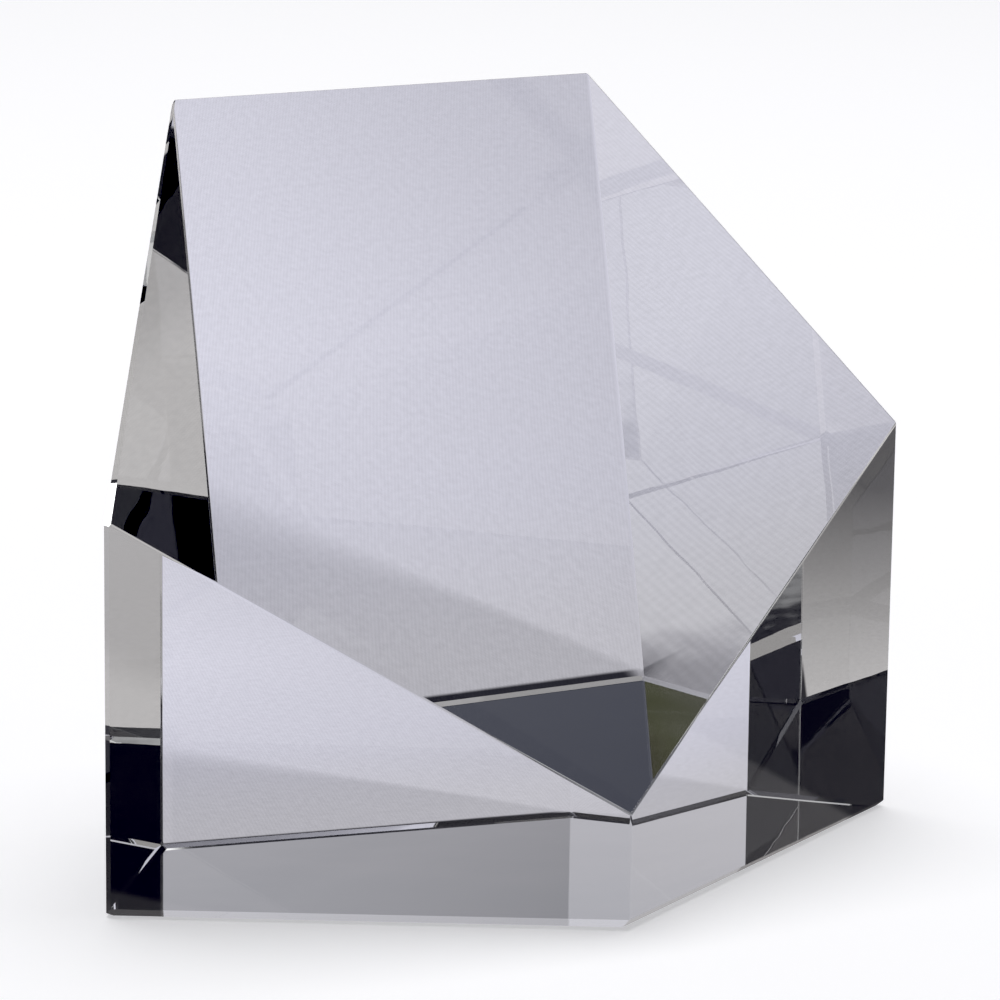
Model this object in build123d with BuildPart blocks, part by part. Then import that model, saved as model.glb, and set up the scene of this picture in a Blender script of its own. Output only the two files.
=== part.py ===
"""Free-standing crystal award, cut and polished from one blank of clear optical crystal.

Five upright facets stand on a five-sided base, with one corner to the front. A single slanted
facet rises from just above that corner to the back edge, so it meets all five upright facets.
The resting face has a bevel all round it, and every other edge has a narrow polished arris.

Units are millimetres. +Z is up, +X runs along the level back edge, and the front corner points
towards -Y. The origin is on the resting face, under the middle of the finished width and depth.
"""

import os

from build123d import *

# Base outline, measured from the front corner: how far each corner is to the side, and how far back.
LEFT_REACH = 60.2
LEFT_DEPTH = 32.0
RIGHT_REACH = 57.8
RIGHT_DEPTH = 33.6
BACK_LEFT_REACH = 34.2
BACK_RIGHT_REACH = 28.4
DEPTH = 71.6

# Heights of the slanted facet above the base.
FRONT_HEIGHT = 15.8
BACK_HEIGHT = 100.0

# Heights of the bevel round the foot. It was lapped by hand: it widens towards the front corner.
BEVEL_AT_FRONT = 1.5
BEVEL_AT_LEFT = 1.3
BEVEL_AT_RIGHT = 0.9
REAR_BEVEL = 0.45

# The bevel's width on the resting face, for each millimetre of its height. It is flatter at the rear.
FRONT_SPREAD = 1.0
REAR_SPREAD = 1.7

# Legs of the arris on the other edges. The two that meet at the left corner were taken down further there.
SLOPE_ARRIS_AT_LEFT = 1.1
SLOPE_ARRIS_AT_BACK = 0.45
LEFT_UPRIGHT_ARRIS = 0.75
ARRIS = 0.25

front = (0, 0)
right = (RIGHT_REACH, RIGHT_DEPTH)
back_right = (BACK_RIGHT_REACH, DEPTH)
back_left = (-BACK_LEFT_REACH, DEPTH)
left = (-LEFT_REACH, LEFT_DEPTH)

# The base edges, anticlockwise from above, each with its bevel's height at its two ends and its spread.
base_edges = [
    (front, right, BEVEL_AT_FRONT, BEVEL_AT_RIGHT, FRONT_SPREAD),
    (right, back_right, REAR_BEVEL, REAR_BEVEL, REAR_SPREAD),
    (back_right, back_left, REAR_BEVEL, REAR_BEVEL, REAR_SPREAD),
    (back_left, left, REAR_BEVEL, REAR_BEVEL, REAR_SPREAD),
    (left, front, BEVEL_AT_LEFT, BEVEL_AT_FRONT, FRONT_SPREAD),
]

# The slanted facet's plane: level from side to side, rising towards the back.
slant = Plane(
    origin=(0, 0, FRONT_HEIGHT),
    x_dir=(1, 0, 0),
    z_dir=(0, FRONT_HEIGHT - BACK_HEIGHT, DEPTH),
)


def bevel_plane(start, end, start_height, end_height, spread):
    """The plane of a bevel whose height changes evenly along a base edge, facing into the block."""
    along = Vector(*end, end_height) - Vector(*start, start_height)
    inward = Vector(start[1] - end[1], end[0] - start[0]).normalized()
    return Plane(
        origin=(*start, start_height),
        x_dir=along,
        z_dir=along.cross(inward * spread - Vector(0, 0, 1)),
    )


def slope_arris_plane():
    """The plane of the arris between the slanted facet and the left rear one, facing into the block."""
    low_end = Vector(*left, FRONT_HEIGHT + LEFT_DEPTH * (BACK_HEIGHT - FRONT_HEIGHT) / DEPTH)
    high_end = Vector(*back_left, BACK_HEIGHT)
    edge = (high_end - low_end).normalized()
    left_rear = Vector(left[1] - back_left[1], back_left[0] - left[0]).normalized()
    down_side = left_rear.cross(edge)
    across_slant = edge.cross(slant.z_dir)
    first = low_end + down_side * SLOPE_ARRIS_AT_LEFT
    along = high_end + down_side * SLOPE_ARRIS_AT_BACK - first
    return Plane(origin=first, x_dir=along, z_dir=along.cross(across_slant - down_side))


with BuildPart() as crystal_block:
    # The blank: an upright prism on the five-sided base.
    with BuildSketch(Plane.XY):
        with BuildLine():
            Polyline(front, right, back_right, back_left, left, close=True)
        make_face()
    extrude(amount=BACK_HEIGHT + REAR_BEVEL)

    # The saw cut that makes the slanted facet.
    split(bisect_by=slant, keep=Keep.BOTTOM)

    # Bevel round the foot, so that the resting face has no edge to chip.
    for base_edge in base_edges:
        split(bisect_by=bevel_plane(*base_edge), keep=Keep.TOP)

    # Wide arris on the slanted facet's left edge, then on the upright edge below it.
    split(bisect_by=slope_arris_plane(), keep=Keep.TOP)
    uprights = crystal_block.edges().filter_by(Axis.Z).sort_by(Axis.X)
    chamfer(uprights[0], length=LEFT_UPRIGHT_ARRIS)

    # Narrow arris on the other upright edges and round the rest of the slanted facet.
    uprights = crystal_block.edges().filter_by(Axis.Z).sort_by(Axis.X)
    rim = crystal_block.faces().filter_by(slant).edges().sort_by(Axis.X)
    chamfer(uprights[2:] + rim[1:], length=ARRIS)

# Put the origin under the middle of the finished block.
middle = crystal_block.part.bounding_box().center()
crystal_block.part = crystal_block.part.moved(Location((-middle.X, -middle.Y, 0)))
crystal_block.part.label = "crystal_block"

os.makedirs("parts", exist_ok=True)
export_step(crystal_block.part, "parts/crystal_block.step")
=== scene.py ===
import math

import bmesh
import bpy
from mathutils import Euler, Matrix, Vector


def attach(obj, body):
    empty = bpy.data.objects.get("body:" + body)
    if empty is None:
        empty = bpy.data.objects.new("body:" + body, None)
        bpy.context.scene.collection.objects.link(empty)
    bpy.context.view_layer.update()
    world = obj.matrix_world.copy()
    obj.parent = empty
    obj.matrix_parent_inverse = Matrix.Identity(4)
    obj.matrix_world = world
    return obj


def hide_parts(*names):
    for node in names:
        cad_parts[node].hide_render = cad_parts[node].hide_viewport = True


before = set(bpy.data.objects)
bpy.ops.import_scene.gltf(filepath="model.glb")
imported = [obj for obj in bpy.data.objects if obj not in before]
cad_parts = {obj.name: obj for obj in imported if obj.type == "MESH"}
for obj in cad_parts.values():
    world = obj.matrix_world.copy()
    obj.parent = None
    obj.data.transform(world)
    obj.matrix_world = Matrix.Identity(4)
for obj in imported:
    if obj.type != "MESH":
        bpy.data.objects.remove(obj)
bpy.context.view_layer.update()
scene = bpy.context.scene

MM_PER_METRE = 1000.0

# The photograph's camera, in the row frame: metres and degrees. The lens and sensor are in millimetres.
CAMERA_PLACE = (-0.2861, -0.5787, 0.2106)
CAMERA_HEADING = 26.24
CAMERA_PITCH = 14.02
CAMERA_ROLL = 0.80
CAMERA_LENS = 179.74
SENSOR = 36.0
NEAREST_SEEN = 0.01
FARTHEST_SEEN = 20

# The block, in millimetres from its front corner, as in part.py. That corner is here in the row frame:
FRONT_CORNER = (1.07, -35.8585)
CORNERS = {
    "front": (0.0, 0.0),
    "right": (57.8, 33.6),
    "back_right": (28.4, 71.6),
    "back_left": (-34.2, 71.6),
    "left": (-60.2, 32.0),
}
DEPTH = CORNERS["back_left"][1]
FRONT_HEIGHT = 15.8
BACK_HEIGHT = 100.0
# The foot bevel's height at the two ends of each side, and its width for each millimetre of height.
FOOT_BEVEL = {
    ("front", "right"): (1.5, 0.9, 1.0),
    ("right", "back_right"): (0.45, 0.45, 1.7),
    ("back_right", "back_left"): (0.45, 0.45, 1.7),
    ("back_left", "left"): (0.45, 0.45, 1.7),
    ("left", "front"): (1.3, 1.5, 1.0),
}
# The wide arrises' legs at their two ends.
LEFT_SLOPE_ARRIS = (1.1, 0.45)
LEFT_UPRIGHT_ARRIS = (0.75, 0.75)

# How far the polishing has rounded the edges between the facets, in millimetres.
ROUND = 0.25
ROUND_SEGMENTS = 4

# The side of the uncut blank. Corners that the cuts leave closer than MERGE_WITHIN are merged.
BLANK = 400.0
CUT_TOLERANCE = 1e-6
MERGE_WITHIN = 0.03
# The cosine above which two directions count as the same.
SAME_DIRECTION = 0.99999
# From millimetres to metres, a hair under full size and a little off its place, so that the block stays
# inside the CAD's box.
MESH_SHIFT = (-0.01, 0.04)
MESH_SCALE = (0.000999, 0.000998, 0.000999)

# Optical crystal, and the slight waviness that hand polishing leaves. The depth is in metres.
CRYSTAL_IOR = 1.5168
CRYSTAL_TINT = (0.985, 0.99, 1.0, 1.0)
WAVES = {"Scale": 45.0, "Detail": 2.0}
WAVE_STRENGTH = 0.1
WAVE_DEPTH = 0.0002

# The pale paper round the block, which only the camera sees.
PAPER_COLOUR = (0.80, 0.80, 0.82, 1.0)
PAPER_GLOW = {"Color": (0.985, 0.985, 1.0, 1.0), "Strength": 0.45}
# The sizes of the two papers and their height, just below the block, in metres.
FLOOR_SIZE = 8
TABLE_SIZE = 1.2
PAPER_HEIGHT = -0.00005

# The lit table, which only the crystal sees. It is a glowing sheet, and its glow is painted light and shade:
# the light on the paper, the block's painted shadow and the darker places round it. Places are in
# millimetres from the block's front corner, x to the right and y backwards. Levels are how strongly the
# paper glows. Of four numbers, the first two are where a change starts and ends, and the last two are the
# values there. Two are its start and end alone, except that a FACING is the direction in which they are
# measured.
# Behind the block: painted light, dimmer to the right, and painted shade close to the block.
BEHIND_BY_X = (0.0, 110.0, 0.72, 0.57)
SHADE_NEAR_BLOCK_BY_Y = (72.0, 142.0, 0.81, 1.0)
# The block's own soft shadow, painted into the table's glow, ends where x + y is SHADOW_EDGE, and its edge
# is softer to the left.
SHADOW_EDGE = 103.0
SHADOW_SOFTNESS_BY_X = (20.0, -20.0, 3.0, 16.0)
SHADOW_LEVEL = 0.69
# Levels at five places on the left.
LEFT_BY_X = ((-240.0, 0.08), (-165.0, 0.105), (-110.0, 0.265), (-72.0, 0.40), (-36.0, 0.53))
LEFT_STRIP_X = (-36.0, -42.0)
LEFT_STRIP_Y = (38.0, 34.0)
LEFT_STRIP_LEVEL = 0.62
RIGHT_BY_X = (60.0, 82.0, 0.51, 0.41)
RIGHT_FRONT_Y = (-18.0, 2.0)
RIGHT_FRONT_LEVEL = 0.40
# A painted darker zone on the right, where the table's glow is lower.
RIGHT_DARK_ZONE_FACING = (0.5, 0.866)
RIGHT_DARK_ZONE_EDGE = (50.0, 52.5)
RIGHT_DARK_ZONE_LEVEL = 0.12
IN_FRONT_X = (22.0, 14.0)
IN_FRONT_Y = (24.0, 21.0)
IN_FRONT_LEVEL = 0.50
# A painted dimmer zone in front on the left.
FRONT_DIM_ZONE_X = (-42.0, -50.0)
FRONT_DIM_ZONE_Y = (-80.0, -60.0)
FRONT_DIM_ZONE_LEVEL = 0.22
FAR_FACING = (0.4, -1.0)
FAR_EDGE = (120.0, 170.0)
FAR_LEVEL = 0.015
# Where the left starts, and where the paper behind starts: a y that depends on x.
LEFT_STARTS_X = (-30.0, -36.0)
BEHIND_STARTS_BY_X = (-10.0, 10.0, 71.0, 59.0)
# Under the block, the painted light's level starts at these y along the back, and this far inside the other
# sides.
UNDER_LEVEL = 0.58
UNDER_BACK_Y = (70.0, 68.0)
UNDER_INSET = (1.0, 3.0)
# The painted contact shadow, a dark line at the foot of the back: how far it reaches, and where it ends.
CONTACT_SHADOW_REACH = (1.2, 1.8)
CONTACT_SHADOW_BY_X = (26.0, 30.0, 0.08, 1.0)
# Lilac paper behind, warmer at the sides.
WARM_TINT = (1.03, 1.0, 0.985, 1.0)
LILAC_TINT = (1.01, 1.0, 1.13, 1.0)
LILAC_BY_Y = (72.0, 110.0, 0.6, 1.0)
# The fine weave of the paper, in radians for each millimetre across and along, and its grain.
THREADS = (11.0, 7.0)
WEAVE_DEPTH = 0.06
GRAIN = {"Scale": 900.0, "Detail": 2.0}
GRAIN_LEVELS = (0.3, 0.7, 0.96, 1.04)

# The studio. Azimuth is 0 straight behind the block and grows to the right. Angles are in degrees.
# The backdrop's glow at each elevation is multiplied by its share at each azimuth.
GLOW_BY_ELEVATION = (
    (-10.0, (0.33, 0.31, 0.30)),
    (0.0, (0.34, 0.33, 0.32)),
    (9.0, (0.62, 0.62, 0.67)),
    (13.4, (0.635, 0.63, 0.675)),
    (18.0, (0.485, 0.48, 0.51)),
    (18.6, (0.455, 0.455, 0.485)),
    (24.0, (0.35, 0.35, 0.37)),
    (31.0, (0.15, 0.15, 0.16)),
    (41.0, (0.108, 0.112, 0.13)),
    (60.0, (0.03, 0.03, 0.035)),
    (90.0, (0.02, 0.02, 0.02)),
)
GLOW_BY_AZIMUTH = (
    (-90.0, 0.0),
    (-21.0, 0.0),
    (-9.0, 1.0),
    (6.0, (1.03, 1.025, 1.02)),
    (12.0, 0.99),
    (28.0, 0.985),
    (41.0, 0.82),
    (45.5, 0.66),
    (58.0, 0.25),
    (70.0, 0.0),
    (90.0, 0.0),
)
DARKEST = (0.013, 0.013, 0.013, 1.0)
# Patches of light: the middle's azimuth, half the width, the lowest and highest elevation, the level, and
# the width of the soft edge.
SOFTBOXES = (
    (131.0, 3.0, 38.5, 44.0, 2.5, 1.5),
    (-114.5, 6.0, 24.0, 40.0, 0.55, 1.5),
    (84.0, 14.0, 23.0, 41.0, 0.47, 1.5),
    (41.0, 4.0, 32.5, 37.0, 0.36, 0.7),
    (78.0, 8.0, 8.0, 14.9, 0.20, 0.4),
    (153.0, 10.0, 8.0, 15.4, 0.50, 0.8),
    (-83.0, 14.0, -12.0, 5.0, 0.72, 3.0),
)
# A broad light in front, low down.
FRONT_LIGHT_AZIMUTH = (164.0, 172.0)
FRONT_LIGHT_BY_ELEVATION = (50.0, 20.0, 0.0, 0.45)
# An olive patch, high up behind on the left.
OLIVE_PATCH = (-29.0, 8.0, 37.0, 46.0, 1.0, 1.5)
OLIVE_BY_AZIMUTH = (
    (-36.0, (0.13, 0.12, 0.06)),
    (-28.0, (0.14, 0.145, 0.085)),
    (-24.0, (0.15, 0.15, 0.125)),
    (-20.0, (0.15, 0.15, 0.14)),
)

# The lamp over the floor: metres, degrees and watts.
LAMP_SIZE = 1.4
LAMP_PLACE = (0.1, 0.3, 1.6)
LAMP_TILT = -10
LAMP_POWER = 20

# The view's black level imitates the photograph's deep blacks.
BLACK_LEVEL = (0.022, 0.022, 0.017)
BOUNCES = 24

UP = Vector((0, 0, 1))


class Graph:
    """A node tree, with short ways to write sums in it."""

    def __init__(self, tree):
        self.nodes = tree.nodes
        self.links = tree.links
        self.nodes.clear()

    def feed(self, socket, value):
        """Puts a value, or another node's output, into a socket."""
        if isinstance(value, bpy.types.NodeSocket):
            self.links.new(value, socket)
        else:
            socket.default_value = value

    def new(self, kind, inputs=(), **settings):
        node = self.nodes.new(kind)
        for name, value in settings.items():
            setattr(node, name, value)
        for name, value in dict(inputs).items():
            self.feed(node.inputs[name], value)
        return node

    def math(self, kind, *values):
        return self.new("ShaderNodeMath", enumerate(values), operation=kind).outputs[0]

    def add(self, a, b):
        return self.math("ADD", a, b)

    def subtract(self, a, b):
        return self.math("SUBTRACT", a, b)

    def multiply(self, a, b):
        return self.math("MULTIPLY", a, b)

    def along(self, x, y, direction):
        """How far the place x, y is along a direction."""
        return self.add(self.multiply(x, direction[0]), self.multiply(y, direction[1]))

    def step(self, value, start, end, low=0.0, high=1.0, kind="SMOOTHSTEP"):
        """Goes from low to high as the value goes from start to end."""
        inputs = {"Value": value, "From Min": start, "From Max": end, "To Min": low, "To Max": high}
        return self.new("ShaderNodeMapRange", inputs, interpolation_type=kind).outputs["Result"]

    def mix(self, factor, a, b):
        return self.step(factor, 0.0, 1.0, a, b, "LINEAR")

    def ramp(self, value, stops):
        """Goes through the stops' colours or grey levels as the value goes from the first to the last."""
        start, end = stops[0][0], stops[-1][0]
        node = self.new("ShaderNodeValToRGB", {"Fac": self.step(value, start, end, kind="LINEAR")})
        # A new ramp has two elements. The first is used again.
        elements = node.color_ramp.elements
        elements.remove(elements[-1])
        for i, (place, colour) in enumerate(stops):
            at = (place - start) / (end - start)
            element = elements[0] if i == 0 else elements.new(at)
            element.position = at
            element.color = (*(grey(colour) if isinstance(colour, float) else colour), 1.0)
        return node.outputs["Color"]

    def tint(self, kind, a, b, factor=1.0):
        """Blends two colours. The node's inputs 6 and 7 and its output 2 are the ones for colours."""
        inputs = {"Factor": factor, 6: a, 7: b}
        return self.new("ShaderNodeMix", inputs, data_type="RGBA", blend_type=kind).outputs[2]


def grey(level):
    return (level, level, level)


def new_material(name):
    """A material, its node tree, and the socket that takes its shader."""
    material = bpy.data.materials.new(name)
    material.use_nodes = True
    graph = Graph(material.node_tree)
    return material, graph, graph.new("ShaderNodeOutputMaterial").inputs["Surface"]


# The block


def side_directions():
    """The outward direction of each upright facet, by the two corners that it stands between."""
    names = list(CORNERS)
    directions = {}
    for start, end in zip(names, names[1:] + names[:1]):
        along = Vector((*CORNERS[end], 0)) - Vector((*CORNERS[start], 0))
        directions[(start, end)] = along.cross(UP).normalized()
    return directions


def cut(bm, point, outward):
    """Cuts the solid by a plane, keeps what is behind it and closes the cut with one face."""
    result = bmesh.ops.bisect_plane(
        bm,
        geom=bm.verts[:] + bm.edges[:] + bm.faces[:],
        plane_co=point,
        plane_no=outward,
        dist=CUT_TOLERANCE,
        clear_outer=True,
    )
    rim = [item for item in result["geom_cut"] if isinstance(item, bmesh.types.BMEdge)]
    bmesh.ops.contextual_create(bm, geom=rim)


def cut_arris(bm, start, end, one, other, start_leg, end_leg):
    """Cuts an arris along the edge where two facets meet, with a leg that changes evenly."""
    edge = (end - start).normalized()
    down, across = edge.cross(one), edge.cross(other)
    if down.dot(other) > 0:
        down.negate()
    if across.dot(one) > 0:
        across.negate()
    first = start + down * start_leg
    last = end + down * end_leg
    outward = (last - first).cross(across - down).normalized()
    cut(bm, first, outward if outward.dot(one) > 0 else -outward)


def cut_left_arrises(bm, left_rear, front_left, slant):
    """Cuts the two wide arrises that meet at the left corner."""
    x, y = CORNERS["left"]
    foot = Vector((x, y, 0))
    top = Vector((x, y, FRONT_HEIGHT + y * (BACK_HEIGHT - FRONT_HEIGHT) / DEPTH))
    peak = Vector((*CORNERS["back_left"], BACK_HEIGHT))
    cut_arris(bm, top, peak, left_rear, slant, *LEFT_SLOPE_ARRIS)
    cut_arris(bm, foot, top, left_rear, front_left, *LEFT_UPRIGHT_ARRIS)


def mark_rounded_edges(bm, facets):
    """Marks the edges between facets for rounding. Bevels and wide arrises have sharp edges of their own."""
    bm.normal_update()
    weight = bm.edges.layers.float.new("bevel_weight_edge")
    for edge in bm.edges:
        sides = [
            any(face.normal.dot(facet) > SAME_DIRECTION for facet in facets) for face in edge.link_faces
        ]
        edge[weight] = 1.0 if all(sides) else 0.0
        edge.smooth = all(sides)


def add_rounding(piece):
    """Rounds the marked edges, and keeps each facet's shading flat up to them."""
    rounding = piece.modifiers.new("rounding", "BEVEL")
    rounding.limit_method = "WEIGHT"
    rounding.offset_type = "OFFSET"
    rounding.width = ROUND / MM_PER_METRE
    rounding.segments = ROUND_SEGMENTS
    rounding.profile = 0.5
    rounding.use_clamp_overlap = False
    facing = piece.modifiers.new("facing", "WEIGHTED_NORMAL")
    facing.mode = "FACE_AREA"
    facing.weight = 100
    facing.keep_sharp = True


def polished_block():
    """The block, cut by the CAD's planes. It has rounded edges where the CAD has narrow flat arrises."""
    bm = bmesh.new()
    bmesh.ops.create_cube(bm, size=BLANK)
    cut(bm, Vector((0, 0, 0)), -UP)
    sides = side_directions()
    for (start, _), outward in sides.items():
        cut(bm, Vector((*CORNERS[start], 0)), outward)
    slant = Vector((0, FRONT_HEIGHT - BACK_HEIGHT, DEPTH)).normalized()
    cut(bm, Vector((0, 0, FRONT_HEIGHT)), slant)
    for (start, end), (start_height, end_height, spread) in FOOT_BEVEL.items():
        first = Vector((*CORNERS[start], start_height))
        last = Vector((*CORNERS[end], end_height))
        across = sides[(start, end)] * spread + UP
        cut(bm, first, (last - first).cross(across).normalized())
    cut_left_arrises(bm, sides[("back_left", "left")], sides[("left", "front")], slant)

    bmesh.ops.remove_doubles(bm, verts=bm.verts, dist=MERGE_WITHIN)
    mark_rounded_edges(bm, [*sides.values(), slant])
    shift = (FRONT_CORNER[0] + MESH_SHIFT[0], FRONT_CORNER[1] + MESH_SHIFT[1], 0)
    bmesh.ops.translate(bm, verts=bm.verts, vec=shift)
    bmesh.ops.scale(bm, verts=bm.verts, vec=MESH_SCALE)
    for face in bm.faces:
        face.smooth = True

    mesh = bpy.data.meshes.new("polished_crystal")
    bm.to_mesh(mesh)
    bm.free()
    piece = bpy.data.objects.new("polished_crystal", mesh)
    scene.collection.objects.link(piece)
    add_rounding(piece)
    return piece


def crystal_material():
    """Clear crystal, very slightly wavy."""
    material, g, surface = new_material("crystal")
    place = g.new("ShaderNodeTexCoord").outputs["Object"]
    noise = g.new("ShaderNodeTexNoise", {"Vector": place, **WAVES})
    waves = {"Strength": WAVE_STRENGTH, "Distance": WAVE_DEPTH, "Height": noise.outputs[0]}
    bump = g.new("ShaderNodeBump", waves)
    looks = {
        "Base Color": CRYSTAL_TINT,
        "Roughness": 0.0,
        "IOR": CRYSTAL_IOR,
        "Transmission Weight": 1.0,
        "Normal": bump.outputs["Normal"],
    }
    shader = g.new("ShaderNodeBsdfPrincipled", looks)
    g.feed(surface, shader.outputs["BSDF"])
    return material


# The papers under the block


def add_paper(name, size, material):
    """A square sheet, centred under the block."""
    mesh = bpy.data.meshes.new(name)
    half = size / 2
    corners = [(-half, -half, 0), (half, -half, 0), (half, half, 0), (-half, half, 0)]
    mesh.from_pydata(corners, [], [(0, 1, 2, 3)])
    mesh.materials.append(material)
    paper = bpy.data.objects.new(name, mesh)
    paper.location = (0, 0, PAPER_HEIGHT)
    scene.collection.objects.link(paper)
    return paper


def seen_by(thing, camera):
    """Shows a stage piece to the camera only, or only through and in the crystal."""
    thing.visible_camera = camera
    thing.visible_glossy = not camera
    thing.visible_transmission = not camera
    thing.visible_diffuse = False
    thing.visible_shadow = False


def paper_material():
    """Plain pale paper, as the camera sees it round the block."""
    material, g, surface = new_material("paper")
    glow = g.new("ShaderNodeEmission", PAPER_GLOW)
    matt = g.new("ShaderNodeBsdfDiffuse", {"Color": PAPER_COLOUR})
    both = g.new("ShaderNodeAddShader", {0: glow.outputs[0], 1: matt.outputs[0]})
    g.feed(surface, both.outputs[0])
    return material


def level_behind(g, x, y):
    """Painted light behind: brightest straight behind, dimmer to the right, with painted shade close to the
    block and the block's painted shadow.
    """
    past_edge = g.subtract(g.add(y, x), SHADOW_EDGE)
    softness = g.step(x, *SHADOW_SOFTNESS_BY_X)
    shadow = g.step(g.math("DIVIDE", past_edge, softness), -1.0, 1.0, SHADOW_LEVEL, 1.0)
    # Painted shade close to the block, and the block's painted shadow.
    shade_near_block = g.step(y, *SHADE_NEAR_BLOCK_BY_Y, "LINEAR")
    return g.multiply(g.step(x, *BEHIND_BY_X), g.math("MINIMUM", shadow, shade_near_block))


def level_beside(g, x, y):
    """The painted light at the sides and in front. Far in front it is painted almost black."""
    # On the right, with a painted darker zone on the paper.
    right = g.step(y, *RIGHT_FRONT_Y, RIGHT_FRONT_LEVEL, g.step(x, *RIGHT_BY_X))
    right_dark_zone = g.step(g.along(x, y, RIGHT_DARK_ZONE_FACING), *RIGHT_DARK_ZONE_EDGE)
    right = g.mix(right_dark_zone, right, RIGHT_DARK_ZONE_LEVEL)
    # On the left the painted light falls off with distance, and a painted lighter strip runs out from the
    # block's left corner.
    level = g.mix(g.step(x, *LEFT_STARTS_X), right, g.ramp(x, LEFT_BY_X))
    strip = g.multiply(g.step(x, *LEFT_STRIP_X), g.step(y, *LEFT_STRIP_Y))
    level = g.mix(strip, level, LEFT_STRIP_LEVEL)
    # In front of the block's left half it is even, with a painted dimmer zone to the left.
    front_dim_zone = g.multiply(g.step(x, *FRONT_DIM_ZONE_X), g.step(y, *FRONT_DIM_ZONE_Y))
    in_front = g.multiply(g.step(x, *IN_FRONT_X), g.step(y, *IN_FRONT_Y))
    level = g.mix(in_front, level, g.mix(front_dim_zone, IN_FRONT_LEVEL, FRONT_DIM_ZONE_LEVEL))
    return g.mix(g.step(g.along(x, y, FAR_FACING), *FAR_EDGE), level, FAR_LEVEL)


def under_block(g, x, y):
    """Is 1 under the block and 0 outside it, with a soft edge just inside its sides."""
    under = g.step(y, *UNDER_BACK_Y)
    for (start, end), outward in side_directions().items():
        if (start, end) != ("back_right", "back_left"):
            side = outward.dot(Vector((*CORNERS[start], 0)))
            soft_edge = [side - inset for inset in UNDER_INSET]
            under = g.multiply(under, g.step(g.along(x, y, outward), *soft_edge))
    return under


def lit_table_material():
    """The table top as the crystal shows it, a glowing sheet with light and shade painted into its glow:
    evenly lit lilac paper behind, dimmer at the sides.
    """
    material, g, surface = new_material("lit_table")
    place = g.new("ShaderNodeTexCoord").outputs["Object"]
    metres = g.new("ShaderNodeSeparateXYZ", {"Vector": place}).outputs
    x = g.subtract(g.multiply(metres["X"], MM_PER_METRE), FRONT_CORNER[0])
    y = g.subtract(g.multiply(metres["Y"], MM_PER_METRE), FRONT_CORNER[1])

    is_behind = g.step(g.subtract(y, g.step(x, *BEHIND_STARTS_BY_X)), -1.0, 1.0)
    level = g.mix(is_behind, level_beside(g, x, y), level_behind(g, x, y))
    level = g.mix(under_block(g, x, y), level, UNDER_LEVEL)
    # Painted contact shadow: a dark line along the foot of the back.
    off_contact_shadow = g.math("ABSOLUTE", g.subtract(y, DEPTH))
    contact_shadow = g.step(off_contact_shadow, *CONTACT_SHADOW_REACH, g.step(x, *CONTACT_SHADOW_BY_X), 1.0)
    level = g.multiply(level, contact_shadow)

    across, along = (
        g.math("SINE", g.multiply(value, threads)) for value, threads in zip((x, y), THREADS)
    )
    noise = g.new("ShaderNodeTexNoise", {"Vector": place, **GRAIN})
    grain = g.step(noise.outputs[0], *GRAIN_LEVELS, "LINEAR")
    texture = g.add(g.multiply(g.multiply(across, along), WEAVE_DEPTH), grain)

    lilac = g.multiply(is_behind, g.step(y, *LILAC_BY_Y))
    colour = g.tint("MIX", WARM_TINT, LILAC_TINT, lilac)
    glow = g.new("ShaderNodeEmission", {"Color": colour, "Strength": g.multiply(level, texture)})
    g.feed(surface, glow.outputs[0])
    return material


# The light and the camera


def softbox(g, azimuth, elevation, middle, half_width, low, high, level, edge):
    """A patch of light with soft edges."""
    off = g.math("ABSOLUTE", g.subtract(azimuth, middle))
    beside = g.step(off, half_width, half_width + edge, 1.0, 0.0)
    above = g.step(elevation, low - edge, low)
    below = g.step(elevation, high, high + edge, 1.0, 0.0)
    return g.multiply(g.multiply(beside, g.multiply(above, below)), level)


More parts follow.
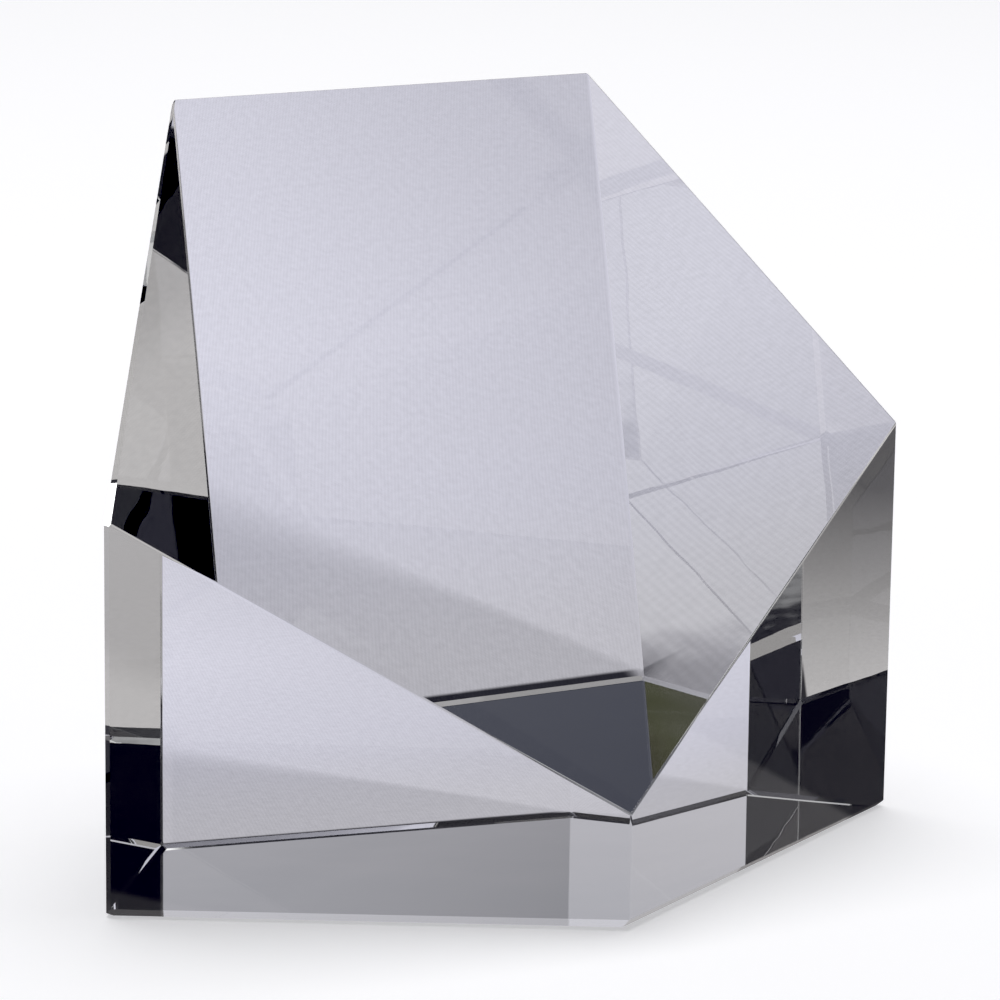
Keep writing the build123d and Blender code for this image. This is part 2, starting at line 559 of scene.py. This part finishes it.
def studio_world():
    """Soft light in a dark studio: a lit backdrop behind, and patches of light round the block."""
    world = bpy.data.worlds.new("studio")
    scene.world = world
    world.use_nodes = True
    g = Graph(world.node_tree)
    place = g.new("ShaderNodeTexCoord").outputs["Generated"]
    towards = g.new("ShaderNodeSeparateXYZ", {"Vector": place}).outputs
    elevation = g.math("DEGREES", g.math("ARCSINE", towards["Z"]))
    azimuth = g.math("DEGREES", g.math("ARCTAN2", towards["X"], towards["Y"]))

    glow = g.tint("MULTIPLY", g.ramp(elevation, GLOW_BY_ELEVATION), g.ramp(azimuth, GLOW_BY_AZIMUTH))
    backdrop = g.tint("LIGHTEN", glow, DARKEST)

    in_front = g.step(g.math("ABSOLUTE", azimuth), *FRONT_LIGHT_AZIMUTH)
    lamps = g.multiply(in_front, g.step(elevation, *FRONT_LIGHT_BY_ELEVATION))
    for box in SOFTBOXES:
        lamps = g.add(lamps, softbox(g, azimuth, elevation, *box))
    olive_patch = softbox(g, azimuth, elevation, *OLIVE_PATCH)
    olive = g.tint("MULTIPLY", g.ramp(azimuth, OLIVE_BY_AZIMUTH), olive_patch)

    colour = g.tint("ADD", g.tint("ADD", backdrop, lamps), olive)
    background = g.new("ShaderNodeBackground", {"Color": colour, "Strength": 1.0})
    output = g.new("ShaderNodeOutputWorld")
    g.feed(output.inputs["Surface"], background.outputs["Background"])


def add_lamp():
    """A large soft lamp over the floor, which the crystal doesn't show."""
    light = bpy.data.lights.new("key", "AREA")
    light.shape = "RECTANGLE"
    light.size = LAMP_SIZE
    light.size_y = LAMP_SIZE
    light.energy = LAMP_POWER
    lamp = bpy.data.objects.new("key", light)
    lamp.location = LAMP_PLACE
    lamp.rotation_euler = (math.radians(LAMP_TILT), 0, 0)
    lamp.visible_glossy = False
    lamp.visible_transmission = False
    scene.collection.objects.link(lamp)


def add_camera():
    camera = bpy.data.objects.new("camera", bpy.data.cameras.new("camera"))
    camera.data.sensor_width = SENSOR
    camera.data.lens = CAMERA_LENS
    camera.data.clip_start = NEAREST_SEEN
    camera.data.clip_end = FARTHEST_SEEN
    turn = Euler((math.radians(90 - CAMERA_PITCH), 0, math.radians(-CAMERA_HEADING)))
    camera.matrix_world = (
        Matrix.Translation(CAMERA_PLACE)
        @ turn.to_matrix().to_4x4()
        @ Matrix.Rotation(math.radians(CAMERA_ROLL), 4, "Z")
    )
    scene.collection.objects.link(camera)
    scene.camera = camera


block = polished_block()
block.data.materials.append(crystal_material())
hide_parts("crystal_block")
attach(block, "root")

floor = add_paper("floor", FLOOR_SIZE, paper_material())
seen_by(floor, camera=True)

table = add_paper("lit_table", TABLE_SIZE, lit_table_material())
seen_by(table, camera=False)

studio_world()
add_lamp()
add_camera()

scene.view_settings.view_transform = "Standard"
scene.view_settings.use_curve_mapping = True
scene.view_settings.curve_mapping.black_level = BLACK_LEVEL
scene.cycles.max_bounces = BOUNCES
scene.cycles.transmission_bounces = BOUNCES
scene.cycles.glossy_bounces = BOUNCES
scene.cycles.caustics_refractive = True
